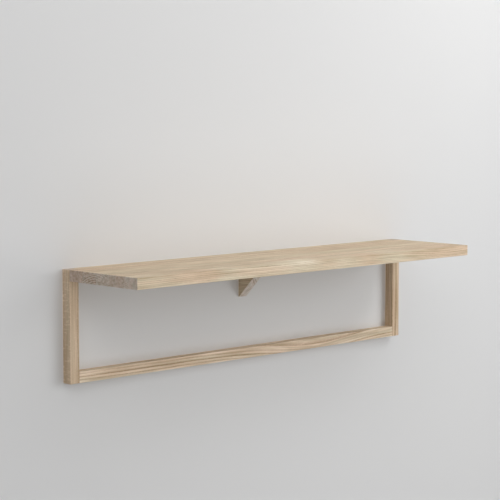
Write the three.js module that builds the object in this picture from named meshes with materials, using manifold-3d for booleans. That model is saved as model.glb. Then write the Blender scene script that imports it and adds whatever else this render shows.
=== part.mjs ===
// A wall shelf with a rail frame, made of solid oak, in millimetres.
//
// X runs along the wall, -Y points out into the room and +Z is up. The wall is the plane Y = 0, and the
// origin is the middle of the top rail's back face. A flat frame of two posts and two rails lies against
// the wall. The shelf board stands out from the top rail, and a small bracket holds it up in the middle.
// Dowels and screws join the pieces, and two keyhole plates in the backs of the posts hang it on the wall.

import * as THREE from "three";
import { mergeVertices } from "three/addons/utils/BufferGeometryUtils.js";
import Module from "manifold-3d";

// Driving dimensions
const LENGTH = 1080;
const DEPTH = 250;
const HEIGHT = 250;
const STOCK = 25;
const STAVE_COUNT = 5;
const BRACKET_LEG = 80;
const BRACKET_NOSE = 1.5;

// Dowels, and how much of each one lies in the piece that it starts in
const FRAME_DOWEL = { radius: 3, length: 30, chamfer: 0.6 };
const FRAME_DOWEL_IN_POST = 13;
const FRAME_DOWEL_SPACING = 12;
const SHELF_DOWEL = { radius: 4, length: 40, chamfer: 0.8 };
const SHELF_DOWEL_IN_RAIL = 17;
const SHELF_DOWEL_COUNT = 6;
const SHELF_DOWEL_PITCH = 180;
const BRACKET_DOWEL_IN_TOP = 12;
const BRACKET_DOWEL_REACH = [12.5, 48];
const GLUE_GAP = 0.15;
const END_GAP = 1;

// Countersunk wood screws; the drive recess is given as shares of the head's radius
const SHELF_SCREW = { headRadius: 4.8, headHeight: 2.8, radius: 2.5, length: 60, tip: 8 };
const SHELF_SCREW_X = [-360, -180, 180, 360];
const SHELF_SCREW_SUNK = 6;
const HANGER_SCREW = { headRadius: 2.9, headHeight: 1.7, radius: 1.5, length: 16, tip: 3 };
const DRIVE = { span: 0.55, halfWidth: 0.14, depth: 0.4 };
const SCREW_GAP = 0.15;

// Keyhole hanger plates, with heights measured from the plate's middle
const PLATE = { width: 16, height: 46, thickness: 2, corner: 2.5 };
const PLATE_Z = -40;
const PLATE_GAP = 0.3;
const PLATE_SCREW_OFFSET = 18;
const KEYHOLE_ENTRY = { radius: 5, z: -5 };
const KEYHOLE_SLOT = { radius: 2.5, z: 8 };
const POCKET = { radius: 6, halfSpan: 7, depth: 10 };

// Mesh fineness, and how far a cutter runs past the face that it cuts
const ROUND_SEGMENTS = 16;
const CURVE_SEGMENTS = 6;
const WELD = 1e-4;
const OVERCUT = 1;

// Places worked out from the driving dimensions
const HALF_LENGTH = LENGTH / 2;
const HALF_STOCK = STOCK / 2;
const POST_INNER_X = HALF_LENGTH - STOCK;
const POST_X = HALF_LENGTH - HALF_STOCK;
const BOTTOM_Z = HALF_STOCK - HEIGHT;
const BOTTOM_RAIL_Z = BOTTOM_Z + HALF_STOCK;
const STAVE_WIDTH = (DEPTH - STOCK) / STAVE_COUNT;

// Finishes
const OAK = { color: 0xc9b69a, roughness: 0.7, metalness: 0 };
const BEECH = { color: 0xd8bd95, roughness: 0.75, metalness: 0 };
const ZINC = { color: 0xb9bcc0, roughness: 0.4, metalness: 1 };

const wasm = await Module();
wasm.setup();

// The closed geometry as a solid that can be cut.
function solidOf(geometry) {
  const bare = geometry.clone();
  bare.deleteAttribute("normal");
  bare.deleteAttribute("uv");
  const merged = mergeVertices(bare, WELD);
  return new wasm.Manifold(
    new wasm.Mesh({
      numProp: 3,
      vertProperties: merged.attributes.position.array,
      triVerts: new Uint32Array(merged.index.array),
    }),
  );
}

// A cut solid back as geometry.
function geometryOf(solid) {
  const mesh = solid.getMesh();
  const geometry = new THREE.BufferGeometry();
  geometry.setAttribute("position", new THREE.BufferAttribute(mesh.vertProperties, 3));
  geometry.setIndex(new THREE.BufferAttribute(mesh.triVerts, 1));
  geometry.computeVertexNormals();
  return geometry;
}

// A square-edged block between two opposite corners.
function block(low, high) {
  const size = high.map((value, axis) => value - low[axis]);
  const middle = high.map((value, axis) => (value + low[axis]) / 2);
  return new THREE.BoxGeometry(...size).translate(...middle);
}

// A turned piece along +Y from its profile of [radius, height] points, which starts and ends on the axis.
function turned(profile) {
  const points = profile.map(([radius, height]) => new THREE.Vector2(radius, height));
  return new THREE.LatheGeometry(points, ROUND_SEGMENTS);
}

// A slab of an outline drawn in the wall's plane, from the height y back into the wood.
function slab(outline, y, thickness) {
  const geometry = new THREE.ExtrudeGeometry(outline, {
    depth: thickness,
    bevelEnabled: false,
    curveSegments: CURVE_SEGMENTS,
  });
  return geometry.rotateX(Math.PI / 2).translate(0, y, 0);
}

// A dowel along +Y from the origin, with its ends chamfered.
function dowel({ radius, length, chamfer }) {
  return turned([
    [0, 0],
    [radius - chamfer, 0],
    [radius, chamfer],
    [radius, length - chamfer],
    [radius - chamfer, length],
    [0, length],
  ]);
}

// The round hole for a dowel, a little wider and longer than the dowel is.
function dowelHole({ radius, length }) {
  return turned([
    [0, -END_GAP],
    [radius + GLUE_GAP, -END_GAP],
    [radius + GLUE_GAP, length + END_GAP],
    [0, length + END_GAP],
  ]);
}

// A countersunk screw along +Y, the middle of its flat head at the origin, with a cross recess in the head.
function screw({ headRadius, headHeight, radius, length, tip }) {
  const body = turned([
    [0, 0],
    [headRadius, 0],
    [radius, headHeight],
    [radius, length - tip],
    [0, length],
  ]);
  const span = headRadius * DRIVE.span;
  const half = headRadius * DRIVE.halfWidth;
  const deep = headRadius * DRIVE.depth;
  const across = solidOf(block([-span, -OVERCUT, -half], [span, deep, half]));
  const upright = solidOf(block([-half, -OVERCUT, -span], [half, deep, span]));
  return geometryOf(solidOf(body).subtract(across.add(upright)));
}

// The hole that a screw sits in, countersunk to its head and running out past the head by headroom.
function screwHole({ headRadius, headHeight, radius, length, tip }, headroom) {
  return turned([
    [0, -headroom],
    [headRadius + SCREW_GAP, -headroom],
    [headRadius + SCREW_GAP, 0],
    [radius + SCREW_GAP, headHeight],
    [radius + SCREW_GAP, length - tip],
    [0, length + END_GAP],
  ]);
}

// The hanger plate's outline, a rectangle with round corners, grown by a margin all round.
function plateOutline(margin) {
  const x = PLATE.width / 2 - PLATE.corner;
  const z = PLATE.height / 2 - PLATE.corner;
  const r = PLATE.corner + margin;
  const outline = new THREE.Shape();
  outline.absarc(x, z, r, 0, Math.PI / 2);
  outline.absarc(-x, z, r, Math.PI / 2, Math.PI);
  outline.absarc(-x, -z, r, Math.PI, 1.5 * Math.PI);
  outline.absarc(x, -z, r, 1.5 * Math.PI, 2 * Math.PI);
  return outline;
}

// The keyhole: a round entry for the wall screw's head, and above it a slot for the screw's neck.
function keyholePath() {
  const shoulder = Math.acos(KEYHOLE_SLOT.radius / KEYHOLE_ENTRY.radius);
  const path = new THREE.Path();
  path.absarc(0, KEYHOLE_SLOT.z, KEYHOLE_SLOT.radius, 0, Math.PI);
  path.absarc(0, KEYHOLE_ENTRY.z, KEYHOLE_ENTRY.radius, Math.PI - shoulder, 2 * Math.PI + shoulder);
  return path;
}

// The routed pocket behind the keyhole, where the wall screw's head slides up.
function pocketOutline() {
  const outline = new THREE.Shape();
  outline.absarc(0, POCKET.halfSpan, POCKET.radius, 0, Math.PI);
  outline.absarc(0, -POCKET.halfSpan, POCKET.radius, Math.PI, 2 * Math.PI);
  return outline;
}

// The bracket: one leg lies on the wall, one under the shelf, and its slope faces down and out.
function bracketBlank() {
  const outline = new THREE.Shape();
  outline.moveTo(0, 0);
  outline.lineTo(0, -BRACKET_LEG);
  outline.lineTo(BRACKET_NOSE, -BRACKET_LEG);
  outline.lineTo(BRACKET_LEG, -BRACKET_NOSE);
  outline.lineTo(BRACKET_LEG, 0);
  const geometry = new THREE.ExtrudeGeometry(outline, { depth: STOCK, bevelEnabled: false });
  geometry.rotateX(Math.PI / 2).rotateZ(-Math.PI / 2);
  return geometry.translate(HALF_STOCK, 0, -HALF_STOCK);
}

// Where a fastener starts and which way it runs.
function placement(start, direction) {
  const turn = new THREE.Quaternion().setFromUnitVectors(
    new THREE.Vector3(0, 1, 0),
    new THREE.Vector3(...direction),
  );
  return { position: new THREE.Vector3(...start), turn };
}

// Two dowels one above the other in each of the four joints between a rail and a post.
function frameDowelPlaces() {
  const places = [];
  for (const side of [-1, 1]) {
    for (const railZ of [0, BOTTOM_RAIL_Z]) {
      for (const step of [-0.5, 0.5]) {
        const x = side * (POST_INNER_X + FRAME_DOWEL_IN_POST);
        const z = railZ + step * FRAME_DOWEL_SPACING;
        places.push(placement([x, -HALF_STOCK, z], [-side, 0, 0]));
      }
    }
  }
  return places;
}

// A row of dowels from the top rail into the shelf's back edge.
function shelfDowelPlaces() {
  return Array.from({ length: SHELF_DOWEL_COUNT }, (_, index) => {
    const x = (index - (SHELF_DOWEL_COUNT - 1) / 2) * SHELF_DOWEL_PITCH;
    return placement([x, SHELF_DOWEL_IN_RAIL - STOCK, 0], [0, -1, 0]);
  });
}

// Screws from the back of the top rail into the shelf, midway between dowels.
function shelfScrewPlaces() {
  return SHELF_SCREW_X.map((x) => placement([x, -SHELF_SCREW_SUNK, 0], [0, -1, 0]));
}

// One dowel down from the top rail into the bracket, and one down from the shelf.
function bracketDowelPlaces() {
  const z = BRACKET_DOWEL_IN_TOP - HALF_STOCK;
  return BRACKET_DOWEL_REACH.map((reach) => placement([0, -reach, z], [0, 0, -1]));
}

// A screw below and a screw above the keyhole in each hanger plate.
function hangerScrewPlaces() {
  const places = [];
  for (const x of [-POST_X, POST_X]) {
    for (const offset of [-PLATE_SCREW_OFFSET, PLATE_SCREW_OFFSET]) {
      places.push(placement([x, 0, PLATE_Z + offset], [0, -1, 0]));
    }
  }
  return places;
}

// Every fastener by the stem of its name: its shape, its hole's shape, its places and its finish.
const FASTENERS = {
  frame_dowel: {
    shape: dowel(FRAME_DOWEL),
    hole: dowelHole(FRAME_DOWEL),
    places: frameDowelPlaces(),
    finish: BEECH,
  },
  shelf_dowel: {
    shape: dowel(SHELF_DOWEL),
    hole: dowelHole(SHELF_DOWEL),
    places: shelfDowelPlaces(),
    finish: BEECH,
  },
  bracket_dowel: {
    shape: dowel(FRAME_DOWEL),
    hole: dowelHole(FRAME_DOWEL),
    places: bracketDowelPlaces(),
    finish: BEECH,
  },
  shelf_screw: {
    shape: screw(SHELF_SCREW),
    hole: screwHole(SHELF_SCREW, SHELF_SCREW_SUNK + OVERCUT),
    places: shelfScrewPlaces(),
    finish: ZINC,
  },
  hanger_screw: {
    shape: screw(HANGER_SCREW),
    hole: screwHole(HANGER_SCREW, OVERCUT),
    places: hangerScrewPlaces(),
    finish: ZINC,
  },
};

// Every hole that is bored for a dowel or a screw, where the fasteners go.
function boredHoles() {
  const unscaled = new THREE.Vector3(1, 1, 1);
  return Object.values(FASTENERS).flatMap(({ hole, places }) =>
    places.map(({ position, turn }) => {
      const matrix = new THREE.Matrix4().compose(position, turn, unscaled);
      return solidOf(hole.clone().applyMatrix4(matrix));
    }),
  );
}

// The shallow recess for a hanger plate and the pocket behind its keyhole, at a post's place along the wall.
function hangerRecess(x) {
  const recess = slab(plateOutline(PLATE_GAP), OVERCUT, PLATE.thickness + OVERCUT);
  const pocket = slab(pocketOutline(), OVERCUT, POCKET.depth + OVERCUT);
  const cut = solidOf(recess).add(solidOf(pocket));
  return cut.translate(x, 0, PLATE_Z);
}

const cutters = [...boredHoles(), hangerRecess(-POST_X), hangerRecess(POST_X)];

// The blank with every hole and recess that meets it cut away.
function machined(blank) {
  return geometryOf(cutters.reduce((solid, cutter) => solid.subtract(cutter), solidOf(blank)));
}

// One named piece with a finish of its own.
function piece(name, geometry, finish) {
  const mesh = new THREE.Mesh(geometry, new THREE.MeshStandardMaterial(finish));
  mesh.name = name;
  return mesh;
}

// The flat frame on the wall: two posts at full height, and two rails between them.
function wallFrame() {
  const group = new THREE.Group();
  const post = (low) => block([low, -STOCK, BOTTOM_Z], [low + STOCK, 0, HALF_STOCK]);
  const rail = (z) => block([-POST_INNER_X, -STOCK, z - HALF_STOCK], [POST_INNER_X, 0, z + HALF_STOCK]);
  group.add(
    piece("left_post", machined(post(-HALF_LENGTH)), OAK),
    piece("right_post", machined(post(POST_INNER_X)), OAK),
    piece("top_rail", machined(rail(0)), OAK),
    piece("bottom_rail", machined(rail(BOTTOM_RAIL_Z)), OAK),
  );
  return group;
}

// The shelf board: staves glued edge to edge, counted from the wall outwards, and its bracket.
function shelfBoard() {
  const group = new THREE.Group();
  for (let index = 0; index < STAVE_COUNT; index += 1) {
    const back = -STOCK - index * STAVE_WIDTH;
    const stave = block([-HALF_LENGTH, back - STAVE_WIDTH, -HALF_STOCK], [HALF_LENGTH, back, HALF_STOCK]);
    group.add(piece(`shelf_stave_${index + 1}`, machined(stave), OAK));
  }
  group.add(piece("centre_bracket", machined(bracketBlank()), OAK));
  return group;
}

// The keyhole plates, let in flush with the backs of the posts.
function hangerPlates() {
  const outline = plateOutline(0);
  outline.holes.push(keyholePath());
  const plate = slab(outline, 0, PLATE.thickness);
  const group = new THREE.Group();
  for (const [name, x] of [["left_hanger_plate", -POST_X], ["right_hanger_plate", POST_X]]) {
    const placed = plate.clone().translate(x, 0, PLATE_Z);
    const bored = boredHoles().reduce((solid, hole) => solid.subtract(hole), solidOf(placed));
    group.add(piece(name, geometryOf(bored), ZINC));
  }
  return group;
}

// Every dowel and screw, each as a piece of its own.
function fasteners() {
  const group = new THREE.Group();
  for (const [stem, { shape, places, finish }] of Object.entries(FASTENERS)) {
    places.forEach(({ position, turn }, index) => {
      const mesh = piece(`${stem}_${index + 1}`, shape, finish);
      mesh.position.copy(position);
      mesh.quaternion.copy(turn);
      group.add(mesh);
    });
  }
  return group;
}

const shelf = new THREE.Group();
shelf.add(wallFrame(), shelfBoard(), hangerPlates(), fasteners());

export default shelf;
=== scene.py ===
"""A wall shelf with a rail frame in pale oiled oak, dressed and lit in a studio.

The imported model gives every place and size, in metres: X runs along the wall, -Y points out into the
room, +Z is up and the wall is the plane Y = 0. Each wooden piece, dowel, screw and plate of the model is
replaced by a finer mesh in the same place. Lengths that the model doesn't give are fields of the classes
below, in metres; the timber's own pattern is worked out in millimetres, because that is how a joiner
thinks of growth rings and pores.
"""

import logging
import math
from dataclasses import dataclass, field
from enum import Enum
from typing import Callable, Iterable, Mapping, Optional, Sequence, Union

import bmesh
import bpy
from mathutils import Matrix, Vector


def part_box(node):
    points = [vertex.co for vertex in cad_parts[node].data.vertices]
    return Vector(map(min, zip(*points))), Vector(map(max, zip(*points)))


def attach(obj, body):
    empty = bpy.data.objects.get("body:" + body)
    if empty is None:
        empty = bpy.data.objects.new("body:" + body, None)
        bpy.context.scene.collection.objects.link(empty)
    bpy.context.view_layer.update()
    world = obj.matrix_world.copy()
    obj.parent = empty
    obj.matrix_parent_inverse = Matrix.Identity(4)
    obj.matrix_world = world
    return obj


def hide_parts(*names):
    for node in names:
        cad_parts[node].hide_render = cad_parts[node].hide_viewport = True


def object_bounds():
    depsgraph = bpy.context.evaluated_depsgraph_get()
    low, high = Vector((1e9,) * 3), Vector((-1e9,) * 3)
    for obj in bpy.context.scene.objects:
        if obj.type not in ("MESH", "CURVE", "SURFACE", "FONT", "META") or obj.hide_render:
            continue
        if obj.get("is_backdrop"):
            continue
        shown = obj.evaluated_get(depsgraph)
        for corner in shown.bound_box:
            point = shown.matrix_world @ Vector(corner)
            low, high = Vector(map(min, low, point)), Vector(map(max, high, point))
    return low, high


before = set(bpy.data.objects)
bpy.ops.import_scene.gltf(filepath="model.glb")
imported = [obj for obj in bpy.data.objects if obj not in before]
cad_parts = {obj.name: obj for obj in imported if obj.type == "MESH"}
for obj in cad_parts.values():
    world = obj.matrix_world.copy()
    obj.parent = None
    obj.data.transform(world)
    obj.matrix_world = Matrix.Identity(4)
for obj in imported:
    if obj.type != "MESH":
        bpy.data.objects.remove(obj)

log = logging.getLogger("wall_shelf")

MM = 0.001
BODY = "root"
Colour = tuple[float, float, float]


def linear(red: int, green: int, blue: int) -> Colour:
    """A linear colour from display values of 0 to 255.

    Args:
        red: The display value of red.
        green: The display value of green.
        blue: The display value of blue.

    Returns:
        The three linear values, each from 0 to 1.
    """
    def straighten(value: int) -> float:
        """One display value made linear."""
        share = value / 255
        return share / 12.92 if share <= 0.04045 else ((share + 0.055) / 1.055) ** 2.4

    return straighten(red), straighten(green), straighten(blue)


class Side(Enum):
    """A side of an upright board: its axis and its direction along that axis."""

    LEFT = (0, -1)
    RIGHT = (0, 1)
    FRONT = (1, -1)
    BACK = (1, 1)
    UNDER = (2, -1)
    TOP = (2, 1)


@dataclass(frozen=True)
class Box:
    """An upright box between two corners, in metres."""

    low: Vector
    high: Vector

    @classmethod
    def of(cls, node: str) -> "Box":
        """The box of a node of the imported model."""
        low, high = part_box(node)
        return cls(Vector(low), Vector(high))

    @property
    def size(self) -> Vector:
        """The box's extents."""
        return self.high - self.low

    @property
    def centre(self) -> Vector:
        """The box's middle."""
        return (self.low + self.high) / 2

    @property
    def long_axis(self) -> int:
        """The index of the longest side."""
        return max(range(3), key=lambda axis: self.size[axis])

    def meets(self, other: "Box") -> bool:
        """Whether the two boxes share any space."""
        return all(self.low[i] < other.high[i] and other.low[i] < self.high[i] for i in range(3))


# --------------------------------------------------------------------------------------------------
# Shader recipes


Feed = Union["Number", bpy.types.NodeSocket, float, Sequence[float]]
Feeds = Mapping[Union[int, str], Feed]


class Number:
    """A number that varies over a surface: one output socket, with arithmetic that adds Math nodes."""

    def __init__(self, recipe: "Recipe", socket: bpy.types.NodeSocket) -> None:
        """Wraps a socket of the recipe's node tree."""
        self.recipe = recipe
        self.socket = socket

    def maths(self, operation: str, *feeds: Feed) -> "Number":
        """The result of a Math node.

        Args:
            operation: The Math node's operation.
            feeds: What goes into its sockets, in order.

        Returns:
            The node's result, wrapped.
        """
        node = self.recipe.node("ShaderNodeMath", {"operation": operation}, dict(enumerate(feeds)))
        return Number(self.recipe, node.outputs[0])

    def __add__(self, other: Feed) -> "Number":
        """Self plus other."""
        return self.maths("ADD", self, other)

    __radd__ = __add__

    def __sub__(self, other: Feed) -> "Number":
        """Self less other."""
        return self.maths("SUBTRACT", self, other)

    def __rsub__(self, other: Feed) -> "Number":
        """Other less self."""
        return self.maths("SUBTRACT", other, self)

    def __mul__(self, other: Feed) -> "Number":
        """Self times other."""
        return self.maths("MULTIPLY", self, other)

    __rmul__ = __mul__

    def __truediv__(self, other: Feed) -> "Number":
        """Self over other."""
        return self.maths("DIVIDE", self, other)

    def __rtruediv__(self, other: Feed) -> "Number":
        """Other over self."""
        return self.maths("DIVIDE", other, self)

    def __pow__(self, other: Feed) -> "Number":
        """Self to the power of other."""
        return self.maths("POWER", self, other)

    def __rpow__(self, other: Feed) -> "Number":
        """Other to the power of self."""
        return self.maths("POWER", other, self)

    def __abs__(self) -> "Number":
        """Self without its sign."""
        return self.maths("ABSOLUTE", self)

    def smaller(self, other: Feed) -> "Number":
        """The smaller of self and other."""
        return self.maths("MINIMUM", self, other)

    def larger(self, other: Feed) -> "Number":
        """The larger of self and other."""
        return self.maths("MAXIMUM", self, other)

    def whole(self) -> "Number":
        """The whole number at or below self."""
        return self.maths("FLOOR", self)

    def remainder(self) -> "Number":
        """What is left of self above its whole number."""
        return self.maths("FRACT", self)

    def sine(self) -> "Number":
        """The sine of self, in radians."""
        return self.maths("SINE", self)

    def exponential(self) -> "Number":
        """E to the power of self."""
        return self.maths("EXPONENT", self)

    def angle(self, other: Feed) -> "Number":
        """The angle whose tangent is self over other."""
        return self.maths("ARCTAN2", self, other)

    def rise(self, start: float, end: float, low: float = 0.0, high: float = 1.0) -> "Number":
        """A smooth step from low to high as self goes from start to end.

        Args:
            start: Where the step begins.
            end: Where it ends; below start, the step falls.
            low: The value before the step.
            high: The value after it.

        Returns:
            The stepped value.
        """
        node = self.recipe.node(
            "ShaderNodeMapRange",
            {"interpolation_type": "SMOOTHSTEP"},
            {"Value": self, "From Min": start, "From Max": end, "To Min": low, "To Max": high},
        )
        return Number(self.recipe, node.outputs["Result"])


class Recipe:
    """A material under construction: its node tree and one Principled shader."""

    def __init__(self, name: str) -> None:
        """Starts a material with an empty tree.

        Args:
            name: The material's name.
        """
        self.material = bpy.data.materials.new(name)
        self.material.use_nodes = True
        self.tree = self.material.node_tree
        self.tree.nodes.clear()

    def node(
        self,
        kind: str,
        settings: Optional[Mapping[str, object]] = None,
        feeds: Optional[Feeds] = None,
    ) -> bpy.types.Node:
        """Adds a node.

        Args:
            kind: The node's type.
            settings: Its own settings, such as its operation, set before its sockets.
            feeds: A value or a link for each named or numbered input.

        Returns:
            The node.
        """
        made = self.tree.nodes.new(kind)
        for key, value in (settings or {}).items():
            setattr(made, key, value)
        for key, value in (feeds or {}).items():
            self.feed(made.inputs[key], value)
        return made

    def feed(self, socket: bpy.types.NodeSocket, value: Feed) -> None:
        """Links a socket to a Number or another socket, or sets its value.

        Args:
            socket: The socket.
            value: What goes into it.
        """
        if isinstance(value, Number):
            value = value.socket
        if isinstance(value, bpy.types.NodeSocket):
            self.tree.links.new(value, socket)
        elif socket.type == "RGBA" and len(value) == 3:
            socket.default_value = (*value, 1.0)
        else:
            socket.default_value = value

    def number(
        self, kind: str, settings: Mapping[str, object], feeds: Feeds, output: Union[int, str] = 0
    ) -> Number:
        """Adds a node and wraps one of its outputs."""
        return Number(self, self.node(kind, settings, feeds).outputs[output])

    def blend(self, share: Feed, first: Feed, second: Feed, mode: str = "MIX") -> bpy.types.NodeSocket:
        """Mixes two colours.

        Args:
            share: How much of the second colour there is.
            first: The first colour.
            second: The second colour.
            mode: The Mix node's blend type.

        Returns:
            The mixed colour's socket.
        """
        settings = {"data_type": "RGBA", "blend_type": mode}
        return self.node("ShaderNodeMix", settings, {0: share, 6: first, 7: second}).outputs[2]

    def vector(self, operation: str, *feeds: Feed) -> bpy.types.NodeSocket:
        """The vector that a Vector Math node gives."""
        settings = {"operation": operation}
        return self.node("ShaderNodeVectorMath", settings, dict(enumerate(feeds))).outputs["Vector"]

    def measure(self, operation: str, *feeds: Feed) -> Number:
        """The number that a Vector Math node gives."""
        settings = {"operation": operation}
        return self.number("ShaderNodeVectorMath", settings, dict(enumerate(feeds)), "Value")

    def scaled(self, place: Feed, scale: Sequence[float], shift: Sequence[float]) -> bpy.types.NodeSocket:
        """A place stretched and moved, for a pattern to be read at."""
        return self.vector("MULTIPLY_ADD", place, scale, shift)

    def place(self) -> bpy.types.NodeSocket:
        """The place on the piece, in metres."""
        return self.node("ShaderNodeTexCoord").outputs["Object"]

    def split(self, place: Feed) -> tuple[Number, ...]:
        """The three numbers of a place."""
        parts = self.node("ShaderNodeSeparateXYZ", {}, {0: place}).outputs
        return tuple(Number(self, part) for part in parts)

    def joined(self, *parts: Feed) -> bpy.types.NodeSocket:
        """A place made of three numbers."""
        return self.node("ShaderNodeCombineXYZ", {}, dict(enumerate(parts))).outputs[0]

    def tinted(self, colour: Feed, *tint: Feed) -> bpy.types.NodeSocket:
        """A colour with its red, green and blue each multiplied by a number."""
        factors = self.node("ShaderNodeCombineColor", {}, dict(enumerate(tint))).outputs[0]
        return self.blend(1.0, colour, factors, "MULTIPLY")

    def bump(self, strength: float, distance: float, height: Number) -> bpy.types.NodeSocket:
        """The surface's normal with a fine relief on it."""
        feeds = {"Strength": strength, "Distance": distance, "Height": height}
        return self.node("ShaderNodeBump", {}, feeds).outputs[0]

    def noise(
        self, place: Feed, scale: Sequence[float], seed: float, detail: float = 2.0, roughness: float = 0.5
    ) -> Number:
        """Soft noise from 0 to 1 over a stretched place.

        Args:
            place: The place that the noise is read at.
            scale: Cycles per unit along each axis.
            seed: Moves the pattern to a part of it that no other piece shows.
            detail: How many finer octaves are added.
            roughness: How strong the finer octaves are.

        Returns:
            The noise.
        """
        feeds = {
            "Vector": self.scaled(place, scale, (seed, seed * 1.7, seed * 2.3)),
            "Scale": 1.0,
            "Detail": detail,
            "Roughness": roughness,
        }
        return self.number("ShaderNodeTexNoise", {}, feeds)

    def finish(self, shader: Mapping[str, Feed]) -> bpy.types.Material:
        """Adds the Principled shader and the output.

        Args:
            shader: The values or links of the shader's sockets.

        Returns:
            The finished material.
        """
        principled = self.node("ShaderNodeBsdfPrincipled", {}, shader)
        return self.output(principled.outputs[0])

    def output(self, surface: bpy.types.NodeSocket) -> bpy.types.Material:
        """Sends a shader to the material's output."""
        self.node("ShaderNodeOutputMaterial", {}, {"Surface": surface})
        return self.material


# --------------------------------------------------------------------------------------------------
# Finishes


class Grain(Enum):
    """Which way the fibres of a piece run, as the index of an axis."""

    ALONG_WALL = 0
    OUTWARD = 1
    UPRIGHT = 2


@dataclass(frozen=True)
class Patch:
    """A stretch of a board that differs from the rest of it, in millimetres along the board.

    Attributes:
        along: The middle of the stretch, from the middle of the board.
        half_length: Half its length; it fades out smoothly.
        tone: How much lighter it is, as a share.
        warmth: How much rosier it is.
        dip: How far its fibres dip to one side.
    """

    along: float
    half_length: float
    tone: float = 0.0
    warmth: float = 0.0
    dip: float = 0.0


@dataclass(frozen=True)
class OakCut:
    """How one piece was sawn from its log, in millimetres, and how its colour differs from its neighbours'.

    The growth rings are shells round the log's pith, so one recipe gives arches on a flat-sawn face,
    straight lines on a quarter-sawn one and arcs on an end.

    Attributes:
        pith: Where the pith runs, across the fibres from the middle of the piece.
        seed: Moves the piece's patterns to a part of the noise that no other piece shows.
        ring: The width of a year's growth.
        wander: How far the fibres stray sideways.
        tone: How light the piece is, as a factor.
        end_tone: How light its ends are, as a factor.
        warmth: How rosy it is, from 0 to 1.
        figure: How strong its figure is, as a factor.
        rays: How strong its ray flecks are.
        grain: Which way its fibres run.
        patches: The stretches of it that differ from the rest.
    """

    pith: tuple[float, float]
    seed: float
    ring: float = 3.6
    wander: float = 5.0
    tone: float = 1.0
    end_tone: float = 1.0
    warmth: float = 0.5
    figure: float = 1.0
    rays: float = 0.35
    grain: Grain = Grain.ALONG_WALL
    patches: tuple[Patch, ...] = ()


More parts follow.
